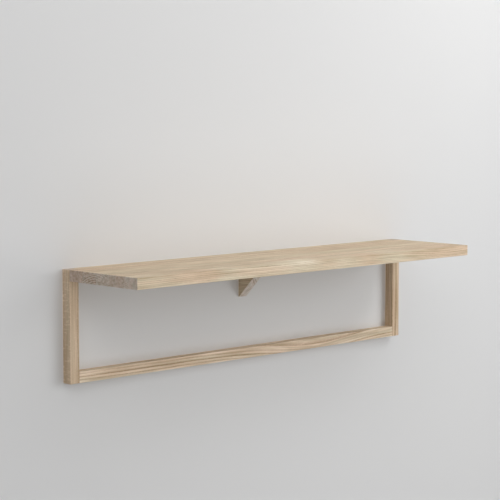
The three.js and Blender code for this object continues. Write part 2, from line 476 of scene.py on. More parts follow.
@dataclass(frozen=True)
class OiledOak:
    """Pale oak, planed, sanded and rubbed with a white-pigmented oil.

    Sizes are a pattern's lengths along and across the fibres, in millimetres. A ray's size is its length
    along the fibres, the space between two rays, and its width towards the pith. Depths, gains and losses
    are shares of the tone. The shade powers make a shaded spot warmer, as real timber is, and not greyer.
    """

    late: Colour = linear(219, 201, 174)
    early: Colour = linear(176, 145, 109)
    rosy: Colour = (1.04, 0.98, 0.965)
    ashen: Colour = (0.965, 1.005, 1.0)
    pore: Colour = linear(128, 102, 76)
    ray: Colour = linear(232, 215, 190)
    end_tint: Colour = (0.81, 0.845, 1.0)
    ring_depth: float = 0.8
    pore_depth: float = 0.75
    streak_depth: float = 0.17
    drift_depth: float = 0.06
    blush_depth: float = 0.35
    # Lightens the colour at the open edges: a painted highlight along the eased edges, on top of oil rubbed
    # thin.
    rubbed_edge_highlight_gain: float = 0.1
    edge_reach: float = 3.0
    glue_loss: float = 0.3
    glue_width: float = 0.3
    shade_powers: tuple[float, float] = (0.85, 1.3)
    streak_size: tuple[float, float] = (120, 5.5)
    drift_size: tuple[float, float] = (240, 30)
    blush_size: tuple[float, float] = (260, 12)
    pore_size: tuple[float, float] = (8, 0.35)
    wander_size: tuple[float, float] = (330, 70)
    ray_size: tuple[float, float, float] = (3.5, 0.8, 18)
    roughness: float = 0.6
    pore_roughness: float = 0.18
    early_roughness: float = 0.05
    end_roughness: float = 0.08
    edge_polish: float = 0.06
    specular: float = 0.35
    relief: float = 0.35
    relief_depth: float = 0.25 * MM
    streak_relief: float = 0.25
    early_relief: float = 0.3

    def dress(self, name: str, cut: OakCut, board: Box, glued: Iterable[Side]) -> bpy.types.Material:
        """The material of one piece.

        Args:
            name: The material's name.
            cut: How the piece was sawn.
            board: The piece's box, in metres.
            glued: The sides that are glued to a neighbour.

        Returns:
            The material.
        """
        recipe = Recipe(name)
        timber = self.timber_space(recipe, cut, board)
        along = recipe.split(timber)[0]
        bent = self.bent_space(recipe, timber, along, cut)
        early = self.early_wood(recipe, bent, cut)
        streak = recipe.noise(bent, self.cycles(self.streak_size), cut.seed, 3.0, 0.55)
        drift = recipe.noise(timber, self.cycles(self.drift_size), cut.seed + 23, 1.0)
        blush = recipe.noise(bent, self.cycles(self.blush_size), cut.seed + 11, 1.0)
        pores = recipe.noise(bent, self.cycles(self.pore_size), cut.seed + 37, 1.0)
        pore = pores.rise(0.56, 0.7) * early.rise(0.1, 0.7, 0.15, 1.0)
        rays = self.ray_flecks(recipe, bent, cut)
        end = self.end_share(recipe, cut)
        edge = self.edge_wear_and_highlight(recipe, board, glued)
        line = self.glue_line(recipe, board, glued)

        warmth = self.around(blush, cut.warmth, self.blush_depth)
        shade = self.around(streak, 1.0, cut.figure * self.streak_depth)
        shade = shade * self.around(drift, 1.0, self.drift_depth)
        shade = shade * (cut.tone + end * (cut.end_tone - cut.tone))
        for patch in cut.patches:
            share = self.bell(along, patch)
            warmth = warmth + share * patch.warmth
            shade = shade * (1 + share * patch.tone)
        # Lighter at the open edges (a painted highlight on top of rubbed oil) and darker along the glue
        # lines.
        shade = shade * (1 + edge * self.rubbed_edge_highlight_gain) * (1 - line * self.glue_loss)

        colour = recipe.blend(early * (self.ring_depth * cut.figure), self.late, self.early)
        colour = recipe.blend(pore * self.pore_depth, colour, self.pore)
        colour = recipe.blend(rays * cut.rays * (1 - end), colour, self.ray)
        colour = recipe.blend(1.0, colour, recipe.blend(warmth, self.ashen, self.rosy), "MULTIPLY")
        colour = recipe.blend(end, colour, recipe.blend(1.0, colour, self.end_tint, "MULTIPLY"))
        red_power, blue_power = self.shade_powers
        roughness = self.roughness + pore * self.pore_roughness + early * self.early_roughness
        height = streak * self.streak_relief - pore - early * self.early_relief
        return recipe.finish({
            "Base Color": recipe.tinted(colour, shade ** red_power, shade, shade ** blue_power),
            "Roughness": roughness - edge * self.edge_polish + end * self.end_roughness,
            "Specular IOR Level": self.specular,
            "Normal": recipe.bump(self.relief, self.relief_depth, height),
        })

    @staticmethod
    def cycles(size: tuple[float, float]) -> tuple[float, float, float]:
        """Cycles per millimetre along each axis, for a pattern of a size."""
        along, across = size
        return 1 / along, 1 / across, 1 / across

    @staticmethod
    def around(noise: Number, middle: float, depth: float) -> Number:
        """Noise spread evenly over a depth to each side of a middle value."""
        return noise.rise(0.3, 0.7, middle - depth, middle + depth)

    @staticmethod
    def bell(along: Number, patch: Patch) -> Number:
        """1 in the middle of a patch, falling smoothly to 0 beyond its ends."""
        away = (along - patch.along) / patch.half_length
        return (away * away * -1.0).exponential()

    @staticmethod
    def timber_space(recipe: Recipe, cut: OakCut, board: Box) -> bpy.types.NodeSocket:
        """The space that the timber's pattern is laid out in.

        Args:
            recipe: The material under construction.
            cut: How the piece was sawn.
            board: The piece's box, in metres.

        Returns:
            Millimetres along the fibres from the piece's middle, and across them from the log's pith.
        """
        parts = recipe.split(recipe.scaled(recipe.place(), (1 / MM,) * 3, tuple(-board.centre / MM)))
        along, across, up = (parts[(cut.grain.value + step) % 3] for step in range(3))
        return recipe.joined(along, across - cut.pith[0], up - cut.pith[1])

    def bent_space(
        self, recipe: Recipe, timber: bpy.types.NodeSocket, along: Number, cut: OakCut
    ) -> bpy.types.NodeSocket:
        """The timber's space pushed sideways here and there, as fibres wander in a real trunk.

        Args:
            recipe: The material under construction.
            timber: The timber's own space.
            along: The distance along the fibres.
            cut: How the piece was sawn.

        Returns:
            The bent space.
        """
        slow = recipe.node("ShaderNodeTexNoise", {}, {
            "Vector": recipe.scaled(timber, self.cycles(self.wander_size), (cut.seed * 3.1,) * 3),
            "Scale": 1.0,
            "Detail": 1.5,
        }).outputs["Color"]
        push = recipe.scaled(slow, (0.0, 2 * cut.wander, 2 * cut.wander), (0.0, -cut.wander, -cut.wander))
        bent = recipe.vector("ADD", timber, push)
        for patch in cut.patches:
            if patch.dip:
                dip = recipe.joined(0.0, 0.0, self.bell(along, patch) * patch.dip)
                bent = recipe.vector("ADD", bent, dip)
        return bent

    @staticmethod
    def reach(recipe: Recipe, bent: bpy.types.NodeSocket) -> Number:
        """The distance from the log's pith."""
        across = recipe.scaled(bent, (0.0, 1.0, 1.0), (0.0, 0.0, 0.0))
        return recipe.measure("LENGTH", across)

    def early_wood(self, recipe: Recipe, bent: bpy.types.NodeSocket, cut: OakCut) -> Number:
        """The growth rings.

        Args:
            recipe: The material under construction.
            bent: The bent space.
            cut: How the piece was sawn.

        Returns:
            1 in the open, darker wood that starts each year's growth, and 0 in the dense wood that ends it.
        """
        reach = self.reach(recipe, bent)
        years = reach / cut.ring + (reach * 0.11 + cut.seed).sine() * 0.8 + 100.0
        part = years.remainder()
        settings, feeds = {"noise_dimensions": "1D"}, {"W": years.whole() + cut.seed}
        strength = recipe.number("ShaderNodeTexWhiteNoise", settings, feeds, "Value")
        return part.rise(0.55, 0.0).larger(part.rise(0.88, 1.0)) * strength.rise(0.0, 1.0, 0.35, 1.0)

    def ray_flecks(self, recipe: Recipe, bent: bpy.types.NodeSocket, cut: OakCut) -> Number:
        """The medullary rays: thin sheets that stand square to the rings and show as flecks.

        Args:
            recipe: The material under construction.
            bent: The bent space.
            cut: How the piece was sawn.

        Returns:
            1 in a fleck and 0 between them.
        """
        along, across, up = recipe.split(bent)
        sheet = recipe.joined(along, across.angle(up), self.reach(recipe, bent))
        length, gap, width = self.ray_size
        scale = (1 / length, math.hypot(*cut.pith) / gap, 1 / width)
        return recipe.noise(sheet, scale, cut.seed + 51, 1.0).rise(0.54, 0.68)

    @staticmethod
    def end_share(recipe: Recipe, cut: OakCut) -> Number:
        """How square to the fibres a face is cut.

        Args:
            recipe: The material under construction.
            cut: How the piece was sawn.

        Returns:
            1 on a face that is cut across the fibres, and 0 on one that runs with them.
        """
        fibre = [0.0, 0.0, 0.0]
        fibre[cut.grain.value] = 1.0
        facing = recipe.measure("DOT_PRODUCT", recipe.node("ShaderNodeTexCoord").outputs["Normal"], fibre)
        return abs(facing).rise(0.5, 0.8)

    def edge_wear_and_highlight(self, recipe: Recipe, board: Box, glued: Iterable[Side]) -> Number:
        """The open edges, where hands have rubbed the oil thin and a painted highlight lightens the colour.

        Args:
            recipe: The material under construction.
            board: The piece's box, in metres.
            glued: The sides that are glued to a neighbour, which have no edges.

        Returns:
            1 on an edge, falling to 0 a few millimetres away.
        """
        middle, half = board.centre, board.size / 2
        for side in glued:
            axis, way = side.value
            half[axis] += board.size[axis]
            middle[axis] += way * board.size[axis]
        parts = recipe.split(recipe.scaled(recipe.place(), (1 / MM,) * 3, tuple(-middle / MM)))
        x, y, z = (half[axis] / MM - abs(parts[axis]) for axis in range(3))
        second = x.smaller(y).larger(x.larger(y).smaller(z))
        return second.rise(self.edge_reach, self.edge_reach / 10)

    def glue_line(self, recipe: Recipe, board: Box, glued: Iterable[Side]) -> Number:
        """The hair's breadth of darker wood along a glued side.

        Args:
            recipe: The material under construction.
            board: The piece's box, in metres.
            glued: The sides that are glued to a neighbour.

        Returns:
            1 on the line and 0 away from it.
        """
        parts = recipe.split(recipe.place())
        line = parts[0] * 0.0
        for side in glued:
            axis, way = side.value
            plane = board.high[axis] if way > 0 else board.low[axis]
            line = line.larger((abs(parts[axis] - plane) / MM).rise(self.glue_width, self.glue_width / 6))
        return line


@dataclass(frozen=True)
class RawBeech:
    """Raw beech of a fluted dowel: fine, even and a little pink, with short dark ray flecks."""

    body: Colour = linear(214, 178, 138)
    fleck: Colour = linear(164, 120, 84)
    axis: int = 0
    fibre_size: tuple[float, float] = (12 * MM, 0.5 * MM)
    fleck_size: tuple[float, float] = (1.8 * MM, 0.35 * MM)

    def dress(self, name: str) -> bpy.types.Material:
        """The dowel's material.

        Args:
            name: The material's name.

        Returns:
            The material.
        """
        recipe = Recipe(name)
        place = recipe.place()
        fibre = recipe.noise(place, self.cycles(self.fibre_size), 3.0, 3.0)
        fleck = recipe.noise(place, self.cycles(self.fleck_size), 7.0, 0.0).rise(0.64, 0.74)
        colour = recipe.blend(fleck * 0.6, self.body, self.fleck)
        shade = fibre.rise(0.25, 0.75, 0.9, 1.06)
        return recipe.finish({
            "Base Color": recipe.tinted(colour, shade, shade, shade),
            "Roughness": 0.72 + fleck * 0.1,
            "Specular IOR Level": 0.3,
            "Normal": recipe.bump(0.3, 0.1 * MM, fibre),
        })

    def cycles(self, size: tuple[float, float]) -> list[float]:
        """Cycles per metre along each axis, for a pattern of a length along the dowel and across it."""
        along, across = size
        return [1 / along if axis == self.axis else 1 / across for axis in range(3)]


@dataclass(frozen=True)
class ZincPlate:
    """Steel with a thin bright zinc plating, cloudy and lightly scuffed."""

    bright: Colour = linear(198, 200, 204)
    cloud: Colour = linear(166, 168, 172)
    cloud_scale: tuple[float, float, float] = (160.0, 160.0, 160.0)
    scuff_scale: tuple[float, float, float] = (900.0, 900.0, 90.0)

    def dress(self, name: str) -> bpy.types.Material:
        """The plated material.

        Args:
            name: The material's name.

        Returns:
            The material.
        """
        recipe = Recipe(name)
        place = recipe.place()
        cloud = recipe.noise(place, self.cloud_scale, 5.0, 3.0, 0.6).rise(0.35, 0.65)
        scuff = recipe.noise(place, self.scuff_scale, 9.0, 2.0, 0.7)
        return recipe.finish({
            "Base Color": recipe.blend(cloud, self.bright, self.cloud),
            "Metallic": 1.0,
            "Roughness": 0.26 + cloud * 0.14 + scuff.rise(0.5, 0.8) * 0.12,
            "Normal": recipe.bump(0.15, 0.1 * MM, scuff),
        })


# --------------------------------------------------------------------------------------------------
# Mesh work


SHARP = math.radians(32)
WELD = MM / 500
Outline = list[tuple[float, float]]


def add_object(name: str, content: bpy.types.ID) -> bpy.types.Object:
    """A new object in the scene.

    Args:
        name: The object's name.
        content: The mesh, lamp or camera that it holds.

    Returns:
        The object.
    """
    made = bpy.data.objects.new(name, content)
    bpy.context.scene.collection.objects.link(made)
    return made


def mesh_of(name: str, shape: bmesh.types.BMesh) -> bpy.types.Mesh:
    """Turns a shape into a mesh that is smooth over its small facets and sharp at its real corners.

    Args:
        name: The mesh's name.
        shape: The shape, which is freed.

    Returns:
        The mesh.
    """
    bmesh.ops.remove_doubles(shape, verts=shape.verts, dist=WELD)
    bmesh.ops.recalc_face_normals(shape, faces=shape.faces)
    for face in shape.faces:
        face.smooth = True
    for edge in shape.edges:
        edge.smooth = edge.calc_face_angle(math.pi) < SHARP
    mesh = bpy.data.meshes.new(name)
    shape.to_mesh(mesh)
    shape.free()
    return mesh


def skin(rings: Sequence[Sequence[Vector]]) -> bmesh.types.BMesh:
    """A closed shape through rings of points, each ring with as many points as the next.

    Args:
        rings: The rings, from one flat end to the other.

    Returns:
        The shape.
    """
    shape = bmesh.new()
    laid = [[shape.verts.new(point) for point in ring] for ring in rings]
    for ring, following in zip(laid, laid[1:]):
        for step in range(len(ring)):
            after = (step + 1) % len(ring)
            shape.faces.new((ring[step], ring[after], following[after], following[step]))
    shape.faces.new(laid[0])
    shape.faces.new(laid[-1])
    return shape


def turned(
    profile: Callable[[float, float], float], rows: Iterable[float], steps: int
) -> bmesh.types.BMesh:
    """A turned shape along +Z, whose radius may also vary round it.

    Args:
        profile: The radius at a height and an angle.
        rows: The heights of its rings, from one flat end to the other.
        steps: How many points each ring has.

    Returns:
        The shape.
    """
    angles = [math.tau * step / steps for step in range(steps)]
    rings = []
    for height in rows:
        radii = [profile(height, angle) for angle in angles]
        rings.append([Vector((r * math.cos(a), r * math.sin(a), height)) for r, a in zip(radii, angles)])
    return skin(rings)


def arc(centre: tuple[float, float], radius: float, start: float, end: float, steps: int = 12) -> Outline:
    """Points along an arc, with both of its ends.

    Args:
        centre: The arc's centre.
        radius: Its radius.
        start: The angle that it starts at, in degrees.
        end: The angle that it ends at, in degrees.
        steps: How many chords it has.

    Returns:
        The points.
    """
    angles = [math.radians(start + (end - start) * step / steps) for step in range(steps + 1)]
    return [(centre[0] + radius * math.cos(a), centre[1] + radius * math.sin(a)) for a in angles]


def rounded_rectangle(half_width: float, half_height: float, radius: float) -> Outline:
    """A rectangle with round corners, about the origin.

    Args:
        half_width: Half its width.
        half_height: Half its height.
        radius: The radius of its corners.

    Returns:
        The points round it.
    """
    x, z = half_width - radius, half_height - radius
    corners = ((x, z, 0), (-x, z, 90), (-x, -z, 180), (x, -z, 270))
    return [point for cx, cz, turn in corners for point in arc((cx, cz), radius, turn, turn + 90, 8)]


def prism(outline: Outline, place: tuple[float, float], front: float, back: float) -> bmesh.types.BMesh:
    """An outline in the wall's plane made solid between two distances from the wall.

    Args:
        outline: Points along the wall and up it.
        place: Where the outline's own origin goes.
        front: The Y of the side towards the room.
        back: The Y of the side towards the wall.

    Returns:
        The shape.
    """
    return skin([[Vector((place[0] + x, y, place[1] + z)) for x, z in outline] for y in (front, back)])


def aimed(shape: bmesh.types.BMesh, start: Vector, direction: Vector) -> bmesh.types.BMesh:
    """A shape made along +Z from the origin, moved to start there and to run in a direction."""
    shape.transform(Matrix.Translation(start) @ direction.to_track_quat("Z", "Y").to_matrix().to_4x4())
    return shape


def cut_away(piece: bpy.types.Object, cutters: Sequence[bmesh.types.BMesh]) -> None:
    """Cuts each shape out of a piece, one after the other.

    Args:
        piece: The piece, whose mesh is replaced.
        cutters: The shapes to take away, which are freed.
    """
    for cutter in cutters:
        tool = add_object("cutter", mesh_of("cutter", cutter))
        change = piece.modifiers.new("cut", "BOOLEAN")
        change.operation = "DIFFERENCE"
        change.solver = "MANIFOLD"
        change.object = tool
        settle(piece)
        bpy.data.meshes.remove(tool.data)


def settle(piece: bpy.types.Object) -> None:
    """Makes what a piece's modifiers do part of its mesh, and takes them off.

    Args:
        piece: The piece.
    """
    bpy.context.view_layer.update()
    shape = bmesh.new()
    shape.from_object(piece, bpy.context.evaluated_depsgraph_get())
    piece.modifiers.clear()
    old, piece.data = piece.data, mesh_of(piece.name, shape)
    bpy.data.meshes.remove(old)


def stand_for(piece: bpy.types.Object, node: str, material: bpy.types.Material) -> None:
    """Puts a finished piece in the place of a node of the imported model.

    Args:
        piece: The piece.
        node: The node that it stands for.
        material: The piece's material.
    """
    piece.data.materials.clear()
    piece.data.materials.append(material)
    level = piece.modifiers.new("flat faces stay flat", "WEIGHTED_NORMAL")
    level.keep_sharp = True
    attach(piece, BODY)
    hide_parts(node)
    log.info("%s: %d faces, for %s", piece.name, len(piece.data.polygons), node)


def nodes_named(*stems: str) -> list[str]:
    """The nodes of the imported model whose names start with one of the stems."""
    return sorted(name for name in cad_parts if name.startswith(stems))


@dataclass
class PlanedBar:
    """A planed bar whose open edges are eased, and whose glued edges are left square.

    Attributes:
        box: The bar's box.
        axis: The axis that it runs along.
        ease: The radius of an eased edge.
        runs: For each eased long edge, named by its two sides, where it starts and ends along the axis.
        ends: The sides that are eased at the low end and at the high end.
        arc_steps: How many chords an eased edge has.
        fade: The length over which an eased edge runs out into a square one.
    """

    box: Box
    axis: int
    ease: float
    runs: dict[frozenset[Side], tuple[float, float]]
    ends: tuple[frozenset[Side], frozenset[Side]]
    arc_steps: int = 4
    fade: float = 4.0 * MM

    def stations(self) -> list[float]:
        """Where the bar's sections are, close together where its edges change.

        Returns:
            The places along the axis, from its low end to its high end.
        """
        low, high = self.box.low[self.axis], self.box.high[self.axis]
        found = {low, high}
        for step in range(1, self.arc_steps + 1):
            inward = self.ease * (1 - math.cos(math.pi / 2 * step / self.arc_steps))
            found.update((low + inward, high - inward))
        for start, end in self.runs.values():
            for step in range(self.arc_steps + 1):
                inward = self.fade * step / self.arc_steps
                found.update((start + inward, end - inward))
        return sorted(place for place in found if low <= place <= high)

    def inset(self, side: Side, place: float) -> float:
        """How far a side has drawn in at a place close to an eased end.

        Args:
            side: The side.
            place: The place along the axis.

        Returns:
            The distance from the box's face.
        """
        low, high = self.box.low[self.axis], self.box.high[self.axis]
        away = min([
            distance
            for distance, sides in ((place - low, self.ends[0]), (high - place, self.ends[1]))
            if side in sides
        ] + [self.ease])
        short = self.ease - min(away, self.ease)
        return self.ease - math.sqrt(max(self.ease ** 2 - short ** 2, 0.0))

    def corner_radius(self, sides: frozenset[Side], place: float) -> float:
        """The radius of a long edge at a place.

        Args:
            sides: The two sides that meet in the edge.
            place: The place along the axis.

        Returns:
            The radius, which is 0 where the edge is square.
        """
        if sides not in self.runs:
            return 0.0
        start, end = self.runs[sides]
        low, high = self.box.low[self.axis], self.box.high[self.axis]
        full = self.ease
        for distance, stops in ((place - start, start > low), (end - place, end < high)):
            if stops:
                share = min(max(distance / self.fade, 0.0), 1.0)
                full *= share * share * (3 - 2 * share)
        return max(full - max(self.inset(side, place) for side in sides), 0.0)

    def section(self, place: float) -> list[Vector]:
        """The points round the bar at a place.

        Args:
            place: The place along the axis.

        Returns:
            The points, as many at every place.
        """
        first, second = (self.axis + 1) % 3, (self.axis + 2) % 3
        points = []
        for ways, turn in (((1, 1), 0), ((-1, 1), 90), ((-1, -1), 180), ((1, -1), 270)):
            sides = (Side((first, ways[0])), Side((second, ways[1])))
            radius = self.corner_radius(frozenset(sides), place)
            centre = []
            for axis, way, side in zip((first, second), ways, sides):
                face = self.box.high[axis] if way > 0 else self.box.low[axis]
                centre.append(face - way * (self.inset(side, place) + radius))
            for across, up in arc((centre[0], centre[1]), radius, turn, turn + 90, self.arc_steps):
                point = Vector((0.0, 0.0, 0.0))
                point[self.axis], point[first], point[second] = place, across, up
                points.append(point)
        return points

    def build(self, name: str) -> bpy.types.Object:
        """The bar as an object.

        Args:
            name: The object's name.

        Returns:
            The object.
        """
        return add_object(name, mesh_of(name, skin([self.section(place) for place in self.stations()])))


# --------------------------------------------------------------------------------------------------
# The shelf's own pieces


@dataclass
class Dowels:
    """Fluted beech dowels, and the holes that they are glued into."""

    stems: tuple[str, ...] = ("frame_dowel", "shelf_dowel", "bracket_dowel")
    flutes: int = 18
    flute_depth: float = 0.2 * MM
    chamfer: float = 0.7 * MM
    glue_gap: float = 0.15 * MM
    end_gap: float = 1.0 * MM
    hole_steps: int = 32

    @staticmethod
    def line(node: str) -> tuple[Vector, Vector, float, float]:
        """Where a dowel lies.

        Args:
            node: The dowel's node.

        Returns:
            Where it starts, its direction, its length and its radius.
        """
        box = Box.of(node)
        axis = box.long_axis
        direction = Vector((0.0, 0.0, 0.0))
        direction[axis] = 1.0
        start = box.centre
        start[axis] = box.low[axis]
        return start, direction, box.size[axis], box.size[(axis + 1) % 3] / 2

    def holes_in(self, board: Box) -> list[bmesh.types.BMesh]:
        """The holes of the dowels that reach into a board.

        Args:
            board: The board's box.

        Returns:
            The holes.
        """
        holes = []
        for node in nodes_named(*self.stems):
            if Box.of(node).meets(board):
                start, direction, length, radius = self.line(node)
                wide, rows = radius + self.glue_gap, (-self.end_gap, length + self.end_gap)
                hole = turned(lambda height, angle: wide, rows, self.hole_steps)
                holes.append(aimed(hole, start, direction))
        return holes

    def build(self) -> None:
        """Makes every dowel in its node's place."""
        for node in nodes_named(*self.stems):
            start, direction, length, radius = self.line(node)

            def profile(height: float, angle: float) -> float:
                """The fluted radius, drawn in over the chamfers."""
                near = min(height, length - height, self.chamfer)
                groove = self.flute_depth * (0.5 - 0.5 * math.cos(self.flutes * angle))
                return radius - groove - (self.chamfer - near)

            rows = (0.0, self.chamfer, length - self.chamfer, length)
            shape = aimed(turned(profile, rows, self.flutes * 4), start, direction)
            piece = add_object(f"beech_{node}", mesh_of(node, shape))
            grain = max(range(3), key=lambda axis: abs(direction[axis]))
            stand_for(piece, node, RawBeech(axis=grain).dress(f"{node}_beech"))


@dataclass
class WoodScrew:
    """A countersunk wood screw with a cross recess, a plain shank and a cut thread, driven towards -Y."""

    stem: str
    radius: float
    head_height: float
    tip: float
    pitch: float
    head_land: float = 0.25 * MM
    core_share: float = 0.64
    shank_share: float = 0.74
    shank_length_share: float = 0.3
    gap: float = 0.15 * MM
    end_gap: float = 1.0 * MM
    steps: int = 32
    rows_per_turn: int = 8
    land_taper: float = 0.4
    least_point: float = 0.04
    ridge_half_width: float = 0.22
    cross_overcut: float = 0.3 * MM
    cross_depth: float = 0.5
    cross_top: tuple[float, float] = (0.56, 0.13)
    cross_floor: tuple[float, float] = (0.24, 0.08)

    def line(self, node: str) -> tuple[Vector, float, float]:
        """The middle of a screw's head, its length and its head's radius."""
        box = Box.of(node)
        return Vector((box.centre.x, box.high.y, box.centre.z)), box.size.y, box.size.x / 2

    def holes_in(self, board: Box, headroom: float) -> list[bmesh.types.BMesh]:
        """The holes of the screws that reach into a board.

        Args:
            board: The board's box.
            headroom: How far each hole runs out past its screw's head.

        Returns:
            The holes.
        """
        holes = []
        for node in nodes_named(self.stem):
            if not Box.of(node).meets(board):
                continue
            head, length, head_radius = self.line(node)
            stops = (
                (-headroom, head_radius + self.gap),
                (0.0, head_radius + self.gap),
                (self.head_height, self.radius + self.gap),
                (length - self.tip, self.radius + self.gap),
                (length + self.end_gap, 0.05 * MM),
            )
            radii = dict(stops)
            hole = turned(lambda height, angle: radii[height], radii, self.steps)
            holes.append(aimed(hole, head, Vector((0.0, -1.0, 0.0))))
        return holes

    def build(self, finish: ZincPlate) -> None:
        """Makes every screw of this size in its node's place.

        Args:
            finish: The screws' plating.
        """
        for node in nodes_named(self.stem):
            head, length, head_radius = self.line(node)
            thread_start = self.head_height + self.shank_length_share * length
            profile = self.profile(length, head_radius, thread_start)
            shape = turned(profile, self.rows(length, thread_start), self.steps)
            piece = add_object(f"zinc_{node}", mesh_of(node, shape))
            cut_away(piece, self.cross(head_radius))
            piece.data.transform(self.facing(head))
            stand_for(piece, node, finish.dress(f"{node}_zinc"))

    @staticmethod
    def facing(head: Vector) -> Matrix:
        """The matrix that puts a screw made along +Z where it goes, running towards -Y."""
        turn = Vector((0.0, -1.0, 0.0)).to_track_quat("Z", "Y").to_matrix().to_4x4()
        return Matrix.Translation(head) @ turn

    def rows(self, length: float, thread_start: float) -> list[float]:
        """The heights of a screw's rings, close together along its thread.

        Args:
            length: The screw's length.
            thread_start: The height that its thread starts at.

        Returns:
            The heights.
        """
        step = self.pitch / self.rows_per_turn
        count = int((length - thread_start) / step)
        thread = [thread_start + step * index for index in range(count)]
        return [0.0, self.head_land, self.head_height, *thread, length]

    def profile(
        self, length: float, head_radius: float, thread_start: float
    ) -> Callable[[float, float], float]:
        """The radius of a screw at a height and an angle.

        Args:
            length: The screw's length.
            head_radius: Its head's radius.
            thread_start: The height that its thread starts at.

        Returns:
            The function that gives the radius.
        """
        def radius(height: float, angle: float) -> float:
            """Head, shank, thread and tip in turn.

            Args:
                height: The distance from the top of the head.
                angle: The angle round the screw.

            Returns:
                The radius.
            """
            if height <= self.head_land:
                return head_radius - (self.head_land - height) * self.land_taper
            if height < thread_start:
                return self.radius * self.shank_share
            point = min(max((length - height) / self.tip, self.least_point), 1.0)
            ridge = (height / self.pitch - angle / math.tau) % 1.0
            crest = max(1.0 - abs(ridge - 0.5) / self.ridge_half_width, 0.0)
            runout = min((height - thread_start) / self.pitch, 1.0)
            core = self.radius * self.core_share
            return (core + (self.radius - core) * crest * runout) * point

        return radius

    def cross(self, head_radius: float) -> list[bmesh.types.BMesh]:
        """The cross recess in a head at the origin.

        Args:
            head_radius: The head's radius, which the recess is in proportion to.

        Returns:
            Its two tapered slots.
        """
        levels = ((-self.cross_overcut, self.cross_top), (head_radius * self.cross_depth, self.cross_floor))
        slots = []
        for first, second in ((0, 1), (1, 0)):
            rings = []
            for height, shares in levels:
                ring = []
                for ways in ((1, 1), (-1, 1), (-1, -1), (1, -1)):
                    point = Vector((0.0, 0.0, height))
                    point[first] = ways[0] * head_radius * shares[0]
                    point[second] = ways[1] * head_radius * shares[1]
                    ring.append(point)
                rings.append(ring)
            slots.append(skin(rings))
        return slots


@dataclass
class HangerPlates:
    """Two keyhole plates of pressed steel, let into the backs of the posts."""

    corner: float = 2.5 * MM
    recess_gap: float = 0.3 * MM
    entry_radius: float = 5.0 * MM
    entry_height: float = -5.0 * MM
    slot_radius: float = 2.5 * MM
    slot_height: float = 8.0 * MM
    pocket_radius: float = 6.0 * MM
    pocket_half_span: float = 7.0 * MM
    pocket_depth: float = 10.0 * MM
    pressed_edge: float = 0.2 * MM
    least_pressed: float = math.radians(50)
    overcut: float = 1.0 * MM
    stems: tuple[str, ...] = ("left_hanger_plate", "right_hanger_plate")

    def keyhole(self) -> Outline:
        """The round entry for the wall screw's head, and above it the slot for the screw's neck.

        Returns:
            The points round the keyhole.
        """
        shoulder = math.degrees(math.acos(self.slot_radius / self.entry_radius))
        slot = arc((0.0, self.slot_height), self.slot_radius, 0, 180, 16)
        return slot + arc((0.0, self.entry_height), self.entry_radius, 180 - shoulder, 360 + shoulder, 32)

    def recess_in(self, board: Box) -> list[bmesh.types.BMesh]:
        """The shallow recess and the deeper pocket that a plate needs in a post.

        Args:
            board: The box of the piece that may hold a plate.

        Returns:
            The shapes to cut away, none where no plate meets the piece.
        """
        cutters = []
        for node in nodes_named(*self.stems):
            box = Box.of(node)
            if box.meets(board):
                place = (box.centre.x, box.centre.z)
                half_width, half_height = box.size.x / 2 + self.recess_gap, box.size.z / 2 + self.recess_gap
                recess = rounded_rectangle(half_width, half_height, self.corner + self.recess_gap)
                pocket = arc((0.0, self.pocket_half_span), self.pocket_radius, 0, 180, 20)
                pocket += arc((0.0, -self.pocket_half_span), self.pocket_radius, 180, 360, 20)
                back = board.high.y + self.overcut
                cutters.append(prism(recess, place, box.low.y, back))
                cutters.append(prism(pocket, place, board.high.y - self.pocket_depth, back))
        return cutters

    def build(self, screw: WoodScrew, finish: ZincPlate) -> None:
        """Makes both plates, with their edges softened by the press.

        Args:
            screw: The screw that holds them.
            finish: Their plating.
        """
        for node in nodes_named(*self.stems):
            box = Box.of(node)
            place = (box.centre.x, box.centre.z)
            outline = rounded_rectangle(box.size.x / 2, box.size.z / 2, self.corner)
            piece = add_object(f"zinc_{node}", mesh_of(node, prism(outline, place, box.low.y, box.high.y)))
            through = prism(self.keyhole(), place, box.low.y - self.overcut, box.high.y + self.overcut)
            cut_away(piece, [through, *screw.holes_in(box, self.overcut)])
            soften = piece.modifiers.new("pressed edges", "BEVEL")
            soften.width = self.pressed_edge
            soften.segments = 2
            soften.angle_limit = self.least_pressed
            settle(piece)
            stand_for(piece, node, finish.dress(f"{node}_zinc"))


